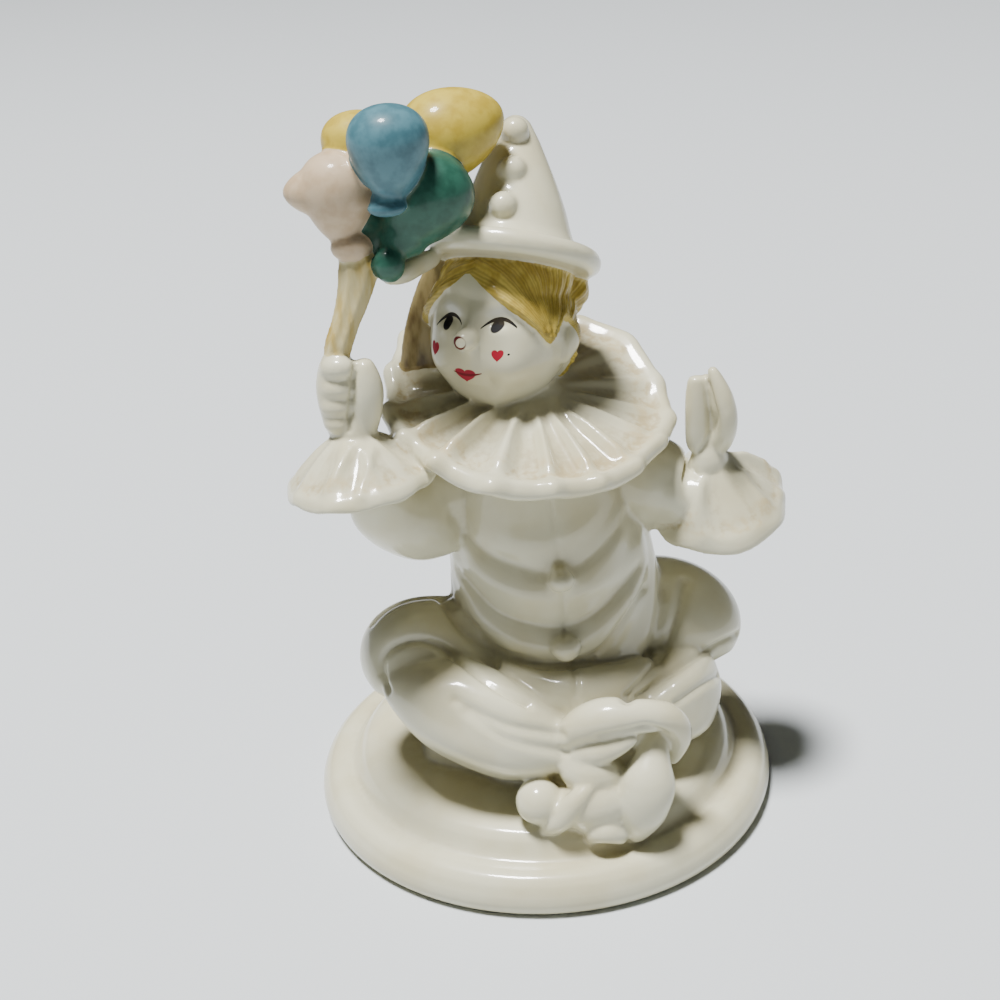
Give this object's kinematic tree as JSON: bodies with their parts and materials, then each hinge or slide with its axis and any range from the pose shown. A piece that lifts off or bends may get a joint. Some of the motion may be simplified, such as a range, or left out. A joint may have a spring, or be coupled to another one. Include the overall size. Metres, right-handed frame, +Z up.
{
  "type": "ceramic clown figurine",
  "caption": "Slip-cast ceramic pierrot clown sitting cross-legged on a stepped round base, raising a bunch of balloons; a hand-painted shelf ornament.",
  "frame": {"origin": "centre of the base's flat underside", "axes": "+Z up through the clown; the viewer who sees its front looks along +Y, and +X is to that viewer's right"},
  "size_m": [0.0874, 0.0838, 0.1313],
  "materials": {
    "painted_ceramic": "satin cream glaze, hand-painted, with grey-brown grime in the pleats"
  },
  "bodies": {
    "root": {"clown_figurine": "painted_ceramic"}
  },
  "joints": []
}
